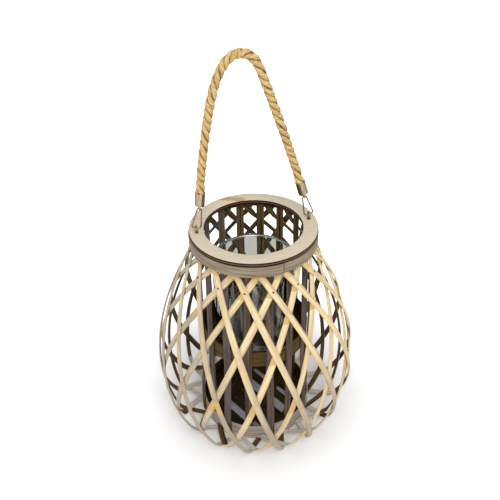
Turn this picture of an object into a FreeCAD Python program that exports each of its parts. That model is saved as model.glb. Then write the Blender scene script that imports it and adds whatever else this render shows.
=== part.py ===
import FreeCAD, Part
import math
import os

Vector = FreeCAD.Vector
UP = Vector(0, 0, 1)
ALONG_X = Vector(1, 0, 0)

# Driving dimensions in millimetres and degrees.
# The floor is z = 0, the lantern stands about the Z axis and the handle swings about X.

# Rim
body_height = 289.0
ring_outer_r = 74.0
ring_inner_r = 56.5
ring_thickness = 4.8
ring_edge_round = 0.5
band_outer_r = 75.2
band_thickness = 2.6
band_height = 12.8
band_seam_angle = -76.0
band_lap_step = 0.9

# Lattice of split willow strips, two layers of opposite lean
strips_each_way = 16
strip_width = 7.0
strip_crown = 2.3
strip_edge = 0.8
layer_gap = 0.3
strip_top_gap = 0.2
lattice_turn = 3.5
outer_lean_r = 36.5
inner_lean_r = 43.0
strip_station_step = 3.5
strip_end_run = 20.0
first_crossing_drop = 20.5
outer_end_steps = 5
inner_end_steps = 7
flare_start_drop = 3.0
flare_bend = 5.0
flare_out = 22.0
flare_drop = 41.0
shoulder_rise = 68.0
belly_r = 124.3
belly_z = 94.0
wall_end_z = 54.0
turn_r = 108.0
underside_r = 103.0
underside_slope = 0.35
strip_end_z = 5.2
band_clearance = 0.3

# Brads through the first row of crossings
brad_shank_r = 0.55
brad_head_r = 1.1
brad_head_height = 0.5
brad_clearance = 0.1
brad_tip_short = 0.5

# Upright slats
slat_count = 16
slat_width = 9.6
slat_crown = 2.8
slat_edge = 1.2
slat_top_drop = 3.7
slat_gap = 0.2
slat_foot_z = 1.0
slat_inner_foot_z = 5.4

# Base hoop, shelf hoop and their crossing floor splints
base_hoop_outer_r = 72.5
base_hoop_height = 24.0
hoop_thickness = 2.6
hoop_lap_step = 0.7
base_seam_angle = 60.0
strip_end_gap = 0.3
shelf_hoop_outer_r = 66.8
shelf_hoop_height = 23.0
shelf_hoop_z = 129.0
shelf_seam_angle = 150.0
splint_thickness = 1.6
splint_layer_gap = 0.15
splint_end_gap = 0.15
splint_angle_lower = -59.0
splint_angle_upper = 50.0
base_splint_z = 0.8
shelf_splint_rise = 4.6
# Splints of each layer, uneven as they are split: middle line's distance from the axis, and width
lower_splints = [(-54.8, 26.5), (-12.9, 35.4), (23.5, 11.0), (52.0, 32.0)]
upper_splints = [(-55.5, 17.0), (-15.0, 10.0), (43.0, 34.0)]

# Glass
glass_r = 50.0
glass_height = 108.0
glass_wall = 4.0
glass_floor = 6.0
glass_rim_round = 1.8
glass_foot_round = 2.0
glass_seat_gap = 0.3

# Screw eyes
eye_r = 65.3
eye_wire_r = 0.9
eye_bore_r = 3.0
eye_collar_r = 2.2
eye_collar_height = 1.0
eye_shank_r = 1.2
eye_shank_length = 8.0
eye_hole_clearance = 0.1

# Links
link_wire_r = 0.9
link_height = 24.7
link_bar_length = 11.0
link_corner_r = 2.2
link_apex_r = 2.4
link_play = 0.12

# Ferrules
ferrule_outer_r = 5.7
ferrule_bore_clearance = 0.05
ferrule_length = 16.3
ferrule_floor = 2.0
ferrule_loop_bore_r = 2.2
ferrule_loop_wire_r = 0.8
ferrule_loop_sink = 0.8
ferrule_edge_round = 0.5

# Rope: route points as distance along X and height above the rim ring
rope_r = 5.1
rope_end_gap = 0.3
rope_arc_share = 0.45
rope_route = [
    (-59.5, 37.4),
    (-57.2, 61.4),
    (-52.3, 94.8),
    (-45.3, 134.7),
    (-37.0, 168.1),
    (-26.2, 189.0),
    (-15.2, 196.5),
    (-3.5, 195.7),
    (5.5, 187.8),
    (11.6, 172.6),
    (25.0, 135.6),
    (39.2, 94.4),
    (50.3, 60.4),
    (57.1, 36.9),
]

# Sizes that follow from the ones above
ring_bottom = body_height - ring_thickness
band_bottom = ring_bottom - band_height
band_inner_r = band_outer_r - band_thickness
rim_r = band_inner_r - band_clearance - strip_crown - layer_gap / 2
outer_base = layer_gap / 2
inner_base = -layer_gap / 2 - strip_crown
underside_tilt = underside_slope / math.hypot(1, underside_slope)
strip_end_r = base_hoop_outer_r + strip_end_gap - inner_base * underside_tilt
strip_step = 360.0 / strips_each_way
slat_step = 360.0 / slat_count
base_hoop_inner_r = base_hoop_outer_r - hoop_thickness
shelf_hoop_inner_r = shelf_hoop_outer_r - hoop_thickness
shelf_splint_z = shelf_hoop_z + shelf_splint_rise
splint_stack = 2 * splint_thickness + splint_layer_gap
glass_z = shelf_splint_z + splint_stack + glass_seat_gap
eye_ring_r = eye_bore_r + eye_wire_r
eye_centre_z = body_height + eye_collar_height + eye_ring_r
hinge_z = eye_centre_z + eye_bore_r - link_wire_r - link_play


def export(name, shape):
    """Write one node, printing its volume."""
    shape.exportStep("parts/" + name + ".step")
    print(name, "solids", len(shape.Solids), "volume", round(shape.Volume, 1), "valid", shape.isValid())


def polar(radius, angle, z):
    """Point at a radius and an angle in degrees about the Z axis."""
    turn = math.radians(angle)
    return Vector(radius * math.cos(turn), radius * math.sin(turn), z)


def turned(shape, angle):
    """Copy of a shape turned about the Z axis."""
    copy = shape.copy()
    copy.rotate(Vector(0, 0, 0), UP, angle)
    return copy


def bezier(points, t):
    """Point of a cubic curve given by four (radius, height) points."""
    weights = ((1 - t) ** 3, 3 * t * (1 - t) ** 2, 3 * t * t * (1 - t), t ** 3)
    radius = sum(w * p[0] for w, p in zip(weights, points))
    height = sum(w * p[1] for w, p in zip(weights, points))
    return radius, height


def smooth_step(t):
    """Ease from 0 to 1 with level ends."""
    t = max(0.0, min(1.0, t))
    return t * t * (3 - 2 * t)


def half_round_section(centre, across, outward, base, width, edge, crown):
    """Closed wire, flat inside and crowned outside, for strips and slats."""
    left = centre - across * (width / 2) + outward * base
    right = centre + across * (width / 2) + outward * base
    right_edge = right + outward * edge
    left_edge = left + outward * edge
    top = centre + outward * (base + crown)
    return Part.Wire([
        Part.LineSegment(left, right).toShape(),
        Part.LineSegment(right, right_edge).toShape(),
        Part.Arc(right_edge, top, left_edge).toShape(),
        Part.LineSegment(left_edge, left).toShape(),
    ])


def bent_hoop(outer_r, thickness, height, bottom_z, seam_angle, lap_step):
    """Bent-wood hoop whose outer end laps over its inner end at the seam."""
    arcs = 8
    edges = []

    def spiral(share):
        return polar(outer_r - lap_step * share, seam_angle - 360.0 * share, bottom_z)

    for index in range(arcs):
        start = spiral(index / arcs)
        middle = spiral((index + 0.5) / arcs)
        end = spiral((index + 1) / arcs)
        edges.append(Part.Arc(start, middle, end).toShape())
    edges.append(Part.LineSegment(spiral(1.0), spiral(0.0)).toShape())
    disc = Part.Face(Part.Wire(edges)).extrude(UP * height)
    hole = Part.makeCylinder(outer_r - thickness, height, Vector(0, 0, bottom_z))
    return disc.cut(hole)


def rim_ring():
    """Flat plywood ring with a hole for each screw eye."""
    low = Vector(0, 0, ring_bottom)
    ring = Part.makeCylinder(ring_outer_r, ring_thickness, low)
    ring = ring.cut(Part.makeCylinder(ring_inner_r, ring_thickness, low))
    ring = ring.makeFillet(ring_edge_round, [e for e in ring.Edges if e.isClosed()])
    for side in (-1, 1):
        hole_low = Vector(side * eye_r, 0, ring_bottom)
        ring = ring.cut(Part.makeCylinder(eye_shank_r + eye_hole_clearance, ring_thickness, hole_low))
    return ring


def straight_run(start, end):
    """Four points of a cubic curve that runs straight at an even rate."""
    third = ((end[0] - start[0]) / 3, (end[1] - start[1]) / 3)
    return [start, (start[0] + third[0], start[1] + third[1]), (end[0] - third[0], end[1] - third[1]), end]


def lattice_path(lean_r, end_steps):
    """Samples (radius, height, angle) of a strip on the surface between the two layers, and its lengths."""
    flare = Vector(flare_out, 0, -flare_drop).normalize() * flare_bend
    bend_start = (rim_r, band_bottom - flare_start_drop)
    corner = (rim_r, bend_start[1] - flare_bend)
    belly = (belly_r, belly_z)
    end = (strip_end_r, strip_end_z)
    turn_z = end[1] + (turn_r - end[0]) * underside_slope
    underside_z = end[1] + (underside_r - end[0]) * underside_slope
    bend_end = (corner[0] + flare.x, corner[1] + flare.z)
    shoulder_lead = (corner[0] + flare_out, corner[1] - flare_drop)
    parts = [
        straight_run((rim_r, ring_bottom - strip_top_gap), bend_start),
        [bend_start, corner, corner, bend_end],
        [bend_end, shoulder_lead, (belly_r, belly_z + shoulder_rise), belly],
        [belly, (belly_r, wall_end_z), (turn_r, turn_z), (underside_r, underside_z)],
        straight_run((underside_r, underside_z), end),
    ]
    per_part = 200
    lower = 3
    samples = []
    for number, curve in enumerate(parts):
        for index in range(per_part):
            radius, height = bezier(curve, index / per_part)
            under_share = smooth_step(2 * index / per_part - 1) if number == lower else float(number > lower)
            samples.append((radius, height, under_share))
    samples.append((end[0], end[1], 1.0))

    # A bent strip runs straight on the surface, so its radius times the sine of its lean stays the same.
    # Under the body the lean is corrected so that the strips meet the base hoop midway between two slats.
    first_crossing_z = band_bottom - first_crossing_drop
    lengths = [0.0]
    body_angle = [0.0]
    under_angle = [0.0]
    for before, after in zip(samples, samples[1:]):
        run = math.hypot(after[0] - before[0], after[1] - before[1])
        middle_r = (after[0] + before[0]) / 2
        turn = math.degrees(run / middle_r)
        lean = lean_r / math.sqrt(middle_r ** 2 - lean_r ** 2)
        lengths.append(lengths[-1] + run)
        body_angle.append(body_angle[-1] + lean * turn)
        under_angle.append(under_angle[-1] + (after[2] + before[2]) / 2 * turn)
    crossing = min(range(len(samples)), key=lambda i: abs(samples[i][1] - first_crossing_z))
    target = end_steps * strip_step / 2
    extra = (target - body_angle[-1] + body_angle[crossing]) / under_angle[-1]
    path = []
    for sample, body, under in zip(samples, body_angle, under_angle):
        path.append((sample[0], sample[1], body - body_angle[crossing] + extra * under))
    return path, lengths, crossing


def surface_normal(path, index):
    """Outward unit normal (radius, height) of the lattice surface at a sample."""
    before = path[max(index - 1, 0)]
    after = path[min(index + 1, len(path) - 1)]
    run = Vector(after[0] - before[0], 0, after[1] - before[1]).normalize()
    return -run.z, run.x


def willow_strip(path, lengths, crossing, hand, base):
    """One lattice strip leaning to the given hand, with its brad hole."""
    total = lengths[-1]
    count = round(total / strip_station_step)
    sections = []
    for station in range(count + 1):
        place = total * station / count
        index = min(range(len(path)), key=lambda i: abs(lengths[i] - place))
        radius, height, angle = path[index]
        before = path[max(index - 1, 0)]
        after = path[min(index + 1, len(path) - 1)]
        ahead = polar(after[0], hand * after[2], after[1])
        behind = polar(before[0], hand * before[2], before[1])
        along = (ahead - behind).normalize()
        normal_r, normal_z = surface_normal(path, index)
        outward = polar(normal_r, hand * angle, normal_z)
        across = outward.cross(along).normalize()
        # Towards both ends the section turns level, so that the strip ends flush with ring and hoop.
        level = polar(1, hand * angle + 90, 0)
        level = level * (1 / level.dot(across))
        end_share = 1 - smooth_step(min(place, total - place) / strip_end_run)
        across = across * (1 - end_share) + level * end_share
        centre = polar(radius, hand * angle, height)
        sections.append(
            half_round_section(centre, across, outward, base, strip_width, strip_edge, strip_crown)
        )
    strip = Part.makeLoft(sections, True, False)
    return strip.cut(brad_shank(path, crossing, brad_shank_r + brad_clearance))


def brad_frame(path, crossing):
    """Place and outward direction of the brad at angle 0."""
    radius, height, angle = path[crossing]
    normal_r, normal_z = surface_normal(path, crossing)
    return Vector(radius, 0, height), Vector(normal_r, 0, normal_z)


def brad_shank(path, crossing, radius):
    """Round shank through both layers of strip."""
    place, outward = brad_frame(path, crossing)
    tip = place + outward * (inner_base - brad_tip_short)
    length = 2 * strip_crown + layer_gap + 2 * brad_tip_short
    return Part.makeCylinder(radius, length, tip, outward)


def brad(path, crossing):
    """Domed brad holding an outer strip to an inner one."""
    place, outward = brad_frame(path, crossing)
    tip = place + outward * (inner_base + brad_tip_short)
    crown = place + outward * (outer_base + strip_crown)
    shank = Part.makeCylinder(brad_shank_r, (crown - tip).Length, tip, outward)
    head = Part.makeCone(brad_head_r, brad_head_r * 0.7, brad_head_height, crown, outward)
    return shank.fuse(head)


def slat(outside):
    """Upright half-round slat; its foot passes outside or inside the base hoop."""
    top_z = ring_bottom - slat_top_drop
    top_r = rim_r + inner_base - slat_gap - slat_crown
    shelf_r = shelf_hoop_outer_r + slat_gap
    shelf_top = shelf_hoop_z + shelf_hoop_height
    if outside:
        foot_r = base_hoop_outer_r + slat_gap
        foot_z = slat_foot_z
    else:
        foot_r = base_hoop_inner_r - slat_gap - slat_crown
        foot_z = slat_inner_foot_z
    steps = 8
    places = []
    for index in range(steps + 1):
        share = index / steps
        places.append((top_r + (shelf_r - top_r) * smooth_step(share), top_z + (shelf_top - top_z) * share))
    places.append((shelf_r, shelf_hoop_z + shelf_hoop_height / 2))
    for index in range(steps + 1):
        share = index / steps
        height = shelf_hoop_z + (base_hoop_height - shelf_hoop_z) * share
        places.append((shelf_r + (foot_r - shelf_r) * smooth_step(share), height))
    places.append((foot_r, (base_hoop_height + foot_z) / 2))
    places.append((foot_r, foot_z))
    sections = []
    for radius, height in places:
        centre = Vector(radius, 0, height)
        sections.append(
            half_round_section(centre, Vector(0, 1, 0), ALONG_X, 0.0, slat_width, slat_edge, slat_crown)
        )
    return Part.makeLoft(sections, True, False)


def crossing_splints(inner_r, bottom_z):
    """Two crossing layers of flat splints that floor a hoop."""
    reach = inner_r - splint_end_gap
    layers = ((splint_angle_lower, lower_splints), (splint_angle_upper, upper_splints))
    splints = []
    for layer, (angle, boards) in enumerate(layers):
        low = bottom_z + layer * (splint_thickness + splint_layer_gap)
        disc = Part.makeCylinder(reach, splint_thickness, Vector(0, 0, low))
        for offset, width in boards:
            corner = Vector(-inner_r, offset - width / 2, low)
            board = Part.makeBox(2 * inner_r, width, splint_thickness, corner)
            splints.append(turned(board, angle).common(disc))
    return Part.makeCompound(splints)


def glass_cylinder():
    """Clear glass with a thick floor and rounded rim."""
    low = Vector(0, 0, glass_z)
    bore_low = Vector(0, 0, glass_z + glass_floor)
    glass = Part.makeCylinder(glass_r, glass_height, low)
    glass = glass.cut(Part.makeCylinder(glass_r - glass_wall, glass_height - glass_floor, bore_low))
    rim_z = glass_z + glass_height
    rim_edges = [e for e in glass.Edges if e.isClosed() and abs(e.CenterOfMass.z - rim_z) < 0.01]
    glass = glass.makeFillet(glass_rim_round, rim_edges)
    foot_edges = [e for e in glass.Edges if e.isClosed() and abs(e.CenterOfMass.z - glass_z) < 0.01]
    return glass.makeFillet(glass_foot_round, foot_edges)


def screw_eye(side):
    """Wire eye on a shank that goes through the rim ring."""
    centre = Vector(side * eye_r, 0, eye_centre_z)
    loop = Part.makeTorus(eye_ring_r, eye_wire_r, centre, ALONG_X)
    collar = Part.makeCylinder(eye_collar_r, eye_collar_height, Vector(side * eye_r, 0, body_height))
    shank_low = Vector(side * eye_r, 0, body_height - eye_shank_length)
    shank = Part.makeCylinder(eye_shank_r, eye_shank_length + eye_collar_height, shank_low)
    return collar.fuse(shank).fuse(loop)


def handle_point(route_point):
    """Route point in the plane of the handle."""
    return Vector(route_point[0], 0, body_height + route_point[1])


def rounded_path(points, tangent_lengths, closed):
    """Straight runs joined by tangent arcs, as one wire; also gives the arc radii."""
    count = len(points)
    corners = range(count) if closed else range(1, count - 1)
    starts = {}
    ends = {}
    middles = {}
    radii = []
    for index in corners:
        corner = points[index]
        back = (points[index - 1] - corner).normalize()
        ahead = (points[(index + 1) % count] - corner).normalize()
        half_turn = (math.pi - back.getAngle(ahead)) / 2
        radius = tangent_lengths[index] / math.tan(half_turn)
        bisector = (back + ahead).normalize()
        starts[index] = corner + back * tangent_lengths[index]
        ends[index] = corner + ahead * tangent_lengths[index]
        middles[index] = corner + bisector * (radius / math.cos(half_turn) - radius)
        radii.append(radius)
    edges = []
    runs = range(count) if closed else range(count - 1)
    for index in runs:
        following = (index + 1) % count
        run_start = ends.get(index, points[index])
        run_end = starts.get(following, points[following])
        edges.append(Part.LineSegment(run_start, run_end).toShape())
        if following in middles:
            edges.append(Part.Arc(run_end, middles[following], ends[following]).toShape())
    return Part.Wire(edges), radii


def round_tube(path, radius, start, direction):
    """Round bar along a wire."""
    section = Part.Wire([Part.Circle(start, direction, radius).toShape()])
    return path.makePipeShell([section], True, False)


def rope():
    """Rope handle along its route, from inside one ferrule to inside the other."""
    points = [handle_point(p) for p in rope_route]
    runs = [(b - a).Length for a, b in zip(points, points[1:])]
    tangents = [0.0]
    for before, after in zip(runs, runs[1:]):
        tangents.append(rope_arc_share * min(before, after))
    tangents.append(0.0)
    path, radii = rounded_path(points, tangents, False)
    print("rope radii", [round(r, 1) for r in radii])
    tube = round_tube(path, rope_r, points[0], points[1] - points[0])
    expected = math.pi * rope_r ** 2 * path.Length
    print("rope length", round(path.Length, 1), "section times length", round(expected, 1))
    return tube


def ferrule_axis(end):
    """Rope end and the direction of the rope away from it, for the first or the last end."""
    points = [handle_point(p) for p in rope_route]
    if end < 0:
        return points[0], (points[1] - points[0]).normalize()
    return points[-1], (points[-2] - points[-1]).normalize()


def ferrule_loop_centre(end):
    """Centre of the wire loop under a ferrule."""
    rope_end, axis = ferrule_axis(end)
    loop_drop = ferrule_loop_bore_r + 2 * ferrule_loop_wire_r - ferrule_loop_sink
    return rope_end - axis * (rope_end_gap + ferrule_floor + loop_drop)


def ferrule(end):
    """Metal cup over a rope end, with a wire loop below."""
    rope_end, axis = ferrule_axis(end)
    low = rope_end - axis * (rope_end_gap + ferrule_floor)
    cup = Part.makeCylinder(ferrule_outer_r, ferrule_length, low, axis)
    cup = cup.makeFillet(ferrule_edge_round, [e for e in cup.Edges if e.Length > ferrule_length * 1.5])
    bore_low = low + axis * ferrule_floor
    bore_r = rope_r + ferrule_bore_clearance
    cup = cup.cut(Part.makeCylinder(bore_r, ferrule_length - ferrule_floor, bore_low, axis))
    loop_r = ferrule_loop_bore_r + ferrule_loop_wire_r
    loop_axis = Vector(axis.z, 0, -axis.x)
    return cup.fuse(Part.makeTorus(loop_r, ferrule_loop_wire_r, ferrule_loop_centre(end), loop_axis))


def link(end):
    """Triangular wire link from a screw eye up to a ferrule loop."""
    bar_centre = Vector(end * eye_r, 0, hinge_z)
    axis = ferrule_axis(end)[1]
    hang = ferrule_loop_bore_r - link_wire_r - link_play
    rise = (ferrule_loop_centre(end) - axis * hang - bar_centre).normalize()
    side = Vector(rise.z, 0, -rise.x)
    half_bar = link_bar_length / 2
    # The sides run from the bar's ends to the bent apex, and would meet above it.
    bend_rise = link_height - link_apex_r
    side_slant = math.asin(link_apex_r / math.hypot(half_bar, bend_rise))
    corner_half = math.atan2(half_bar, bend_rise) - side_slant
    corner_rise = half_bar / math.tan(corner_half)
    base_turn = (math.pi / 2 - corner_half) / 2
    corners = [bar_centre - side * half_bar, bar_centre + side * half_bar, bar_centre + rise * corner_rise]
    tangents = [
        link_corner_r / math.tan(base_turn),
        link_corner_r / math.tan(base_turn),
        link_apex_r / math.tan(corner_half),
    ]
    path = rounded_path(corners, tangents, True)[0]
    return wire_ring(path, link_wire_r)


def wire_ring(path, radius):
    """Round wire bent along a closed path of lines and arcs."""
    bar = None
    for edge in path.Edges:
        start = edge.valueAt(edge.FirstParameter)
        direction = edge.tangentAt(edge.FirstParameter)
        piece = round_tube(Part.Wire([edge]), radius, start, direction)
        bar = piece if bar is None else bar.fuse(piece)
    return bar.removeSplitter()


def main():
    os.makedirs("parts", exist_ok=True)
    export("rim_ring", rim_ring())
    export(
        "rim_band",
        bent_hoop(band_outer_r, band_thickness, band_height, band_bottom, band_seam_angle, band_lap_step),
    )
    path, lengths, crossing = lattice_path(outer_lean_r, outer_end_steps)
    outer_strip = willow_strip(path, lengths, crossing, 1, outer_base)
    lattice_brad = brad(path, crossing)
    path, lengths, crossing = lattice_path(inner_lean_r, inner_end_steps)
    inner_strip = willow_strip(path, lengths, crossing, -1, inner_base)
    brads = []
    for index in range(strips_each_way):
        angle = lattice_turn + index * strip_step
        export("lattice_outer_%02d" % (index + 1), turned(outer_strip, angle))
        export("lattice_inner_%02d" % (index + 1), turned(inner_strip, angle))
        brads.append(turned(lattice_brad, angle))
    export("lattice_brads", Part.makeCompound(brads))
    outside_slat = slat(True)
    inside_slat = slat(False)
    for index in range(slat_count):
        shape = outside_slat if index % 2 == 0 else inside_slat
        export("slat_%02d" % (index + 1), turned(shape, lattice_turn + index * slat_step))
    base_seam = base_seam_angle + lattice_turn
    export(
        "base_hoop",
        bent_hoop(base_hoop_outer_r, hoop_thickness, base_hoop_height, 0.0, base_seam, hoop_lap_step),
    )
    shelf_hoop = bent_hoop(
        shelf_hoop_outer_r, hoop_thickness, shelf_hoop_height, shelf_hoop_z, shelf_seam_angle, hoop_lap_step
    )
    export("shelf_hoop", shelf_hoop)
    export("base_splints", crossing_splints(base_hoop_inner_r, base_splint_z))
    export("shelf_splints", crossing_splints(shelf_hoop_inner_r, shelf_splint_z))
    export("glass", glass_cylinder())
    export("screw_eyes", Part.makeCompound([screw_eye(-1), screw_eye(1)]))
    export("links", Part.makeCompound([link(-1), link(1)]))
    export("ferrules", Part.makeCompound([ferrule(-1), ferrule(1)]))
    export("rope", rope())


main()
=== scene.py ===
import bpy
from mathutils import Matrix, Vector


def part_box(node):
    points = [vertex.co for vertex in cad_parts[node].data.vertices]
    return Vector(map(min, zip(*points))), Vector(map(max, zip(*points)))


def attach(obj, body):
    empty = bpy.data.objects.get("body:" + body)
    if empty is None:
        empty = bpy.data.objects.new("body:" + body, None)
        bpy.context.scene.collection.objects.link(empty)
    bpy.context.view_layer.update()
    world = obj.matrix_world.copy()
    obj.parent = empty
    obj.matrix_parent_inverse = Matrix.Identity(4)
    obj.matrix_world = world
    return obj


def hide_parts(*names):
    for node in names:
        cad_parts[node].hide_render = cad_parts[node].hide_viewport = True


bl_info = {
    "name": "Willow Candle Lantern",
    "version": (1, 0, 0),
    "blender": (4, 5, 0),
    "location": "View3D > Sidebar > Lantern",
    "description": "Dresses the packed lantern in willow, bent wood, rope, nickel and glass",
    "category": "Object",
}

import math
import random

import bmesh
import bpy
from bpy.props import FloatProperty, FloatVectorProperty, IntProperty, PointerProperty
from mathutils import Matrix, Vector
from mathutils.geometry import interpolate_bezier

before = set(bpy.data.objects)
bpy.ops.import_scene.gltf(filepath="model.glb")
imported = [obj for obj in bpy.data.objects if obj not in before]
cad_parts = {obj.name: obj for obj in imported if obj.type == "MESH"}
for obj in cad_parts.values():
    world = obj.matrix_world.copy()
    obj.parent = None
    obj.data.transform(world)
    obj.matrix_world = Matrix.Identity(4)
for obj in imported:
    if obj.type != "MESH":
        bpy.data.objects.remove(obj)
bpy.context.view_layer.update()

ring_low, ring_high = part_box("rim_ring")
band_low, band_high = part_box("rim_band")
foot_low, foot_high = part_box("base_hoop")
shelf_low, shelf_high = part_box("shelf_hoop")
glass_low, glass_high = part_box("glass")
body_top = ring_high.z


def length(name, description, default):
    """A size in metres."""
    return FloatProperty(name=name, description=description, default=default, unit="LENGTH", precision=5)


def colour(name, description, default):
    """A colour as it is seen on screen."""
    return FloatVectorProperty(
        name=name, description=description, default=default, subtype="COLOR_GAMMA", min=0.0, max=1.0
    )


class LanternLattice(bpy.types.PropertyGroup):
    """Sizes of the willow strips and slats."""

    strip_count: IntProperty(name="Strips", description="Strips in each layer", default=16, min=3)
    strip_width: length("Strip width", "Width of a willow strip", 0.007)
    strip_crown: length("Strip crown", "Height of a strip at its middle", 0.0023)
    strip_edge: length("Strip edge", "Height of a strip at its edges", 0.0008)
    layer_gap: length("Layer gap", "Air between the two layers", 0.0003)
    top_gap: length("Top gap", "Air between the strips and the ring", 0.0002)
    band_clearance: length("Band clearance", "Air between the strips and the band", 0.0003)
    turn: FloatProperty(
        name="Turn", description="Angle of the first strip and slat", default=math.radians(3.5), subtype="ANGLE"
    )
    outer_lean_r: length("Outer lean", "Radius at which an outer strip would run level", 0.0365)
    inner_lean_r: length("Inner lean", "Radius at which an inner strip would run level", 0.043)
    outer_end_steps: IntProperty(name="Outer steps", description="Half steps an outer strip turns", default=5)
    inner_end_steps: IntProperty(name="Inner steps", description="Half steps an inner strip turns", default=7)
    crossing_drop: length("First crossing", "Drop from the band to the first crossing", 0.0205)
    flare_start: length("Flare start", "Drop from the band to the flare", 0.003)
    flare_bend: length("Flare bend", "Length of the bend at each side of its corner", 0.005)
    flare_out: length("Flare run", "Outward lead of the shoulder", 0.022)
    flare_drop: length("Flare drop", "Downward lead of the shoulder", 0.041)
    shoulder_rise: length("Shoulder rise", "Upward lead of the belly", 0.068)
    belly_r: length("Belly radius", "Radius at the widest place", 0.1243)
    belly_drop: length("Belly depth", "Depth of the belly below the ring's top", 0.195)
    wall_end_drop: length("Wall end", "Depth where the wall turns in, below the ring's top", 0.235)
    turn_r: length("Turn radius", "Radius where the wall turns in", 0.108)
    underside_r: length("Underside radius", "Radius where the underside runs straight", 0.103)
    underside_slope: FloatProperty(name="Underside slope", description="Rise of the underside", default=0.35)
    strip_end_z: length("Strip end", "Height of the strips at the foot hoop", 0.0052)
    strip_end_gap: length("Strip end gap", "Air between the strips and the foot hoop", 0.0003)
    end_run: length("End run", "Length over which a strip's end turns level", 0.020)
    under_run: length("Under run", "Length of a strip that runs in under the body", 0.046)
    slat_count: IntProperty(name="Slats", description="Upright slats", default=16, min=3)
    slat_width: length("Slat width", "Width of a slat", 0.0096)
    slat_crown: length("Slat crown", "Height of a slat at its middle", 0.0028)
    slat_edge: length("Slat edge", "Height of a slat at its edges", 0.0012)
    slat_gap: length("Slat gap", "Air between a slat and its neighbours", 0.0002)


class LanternWood(bpy.types.PropertyGroup):
    """Sizes of the ring, the band and the hoops."""

    ring_width: length("Ring width", "Width of the flat ring", 0.0175)
    ring_round: length("Ring rounding", "Rounding of the ring's edges", 0.0005)
    band_outer_r: length("Band radius", "Outer radius of the band at its seam", 0.0752)
    band_thickness: length("Band thickness", "Thickness of the band under the ring", 0.0026)
    band_lap: length("Band lap", "Step at the band's seam", 0.0009)
    band_seam: FloatProperty(
        name="Band seam", description="Angle of the band's seam", default=math.radians(-76.0), subtype="ANGLE"
    )
    foot_outer_r: length("Foot radius", "Outer radius of the foot hoop at its seam", 0.0725)
    shelf_outer_r: length("Shelf radius", "Outer radius of the shelf hoop at its seam", 0.0668)
    hoop_thickness: length("Hoop thickness", "Thickness of the two hoops", 0.0026)
    hoop_lap: length("Hoop lap", "Step at a hoop's seam", 0.0007)
    foot_seam: FloatProperty(
        name="Foot seam", description="Angle of the foot hoop's seam", default=math.radians(63.5), subtype="ANGLE"
    )
    shelf_seam: FloatProperty(
        name="Shelf seam", description="Angle of the shelf hoop's seam", default=math.radians(150.0), subtype="ANGLE"
    )
    edge_round: length("Edge rounding", "Rounding of bent wood", 0.0004)
    lower_splints: FloatProperty(
        name="Lower splints", description="Lie of the lower splints", default=math.radians(-59.0), subtype="ANGLE"
    )
    upper_splints: FloatProperty(
        name="Upper splints", description="Lie of the upper splints", default=math.radians(50.0), subtype="ANGLE"
    )


class LanternRope(bpy.types.PropertyGroup):
    """Sizes of the rope and the glass."""

    diameter: length("Rope diameter", "Diameter over the strands", 0.0102)
    rope_length: length("Rope length", "Length from end to end", 0.3515)
    lay: length("Lay", "Length of one turn of a strand", 0.0285)
    strand_r: length("Strand radius", "Radius of one strand", 0.00245)
    fibres: IntProperty(name="Fibres", description="Loose fibres along the rope", default=220, min=0)
    glass_wall: length("Glass wall", "Thickness of the glass wall", 0.004)
    glass_floor: length("Glass floor", "Thickness of the glass floor", 0.006)
    glass_rim: length("Glass rim", "Rounding of the glass rim", 0.0018)
    glass_foot: length("Glass foot", "Rounding of the glass foot", 0.002)


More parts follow.
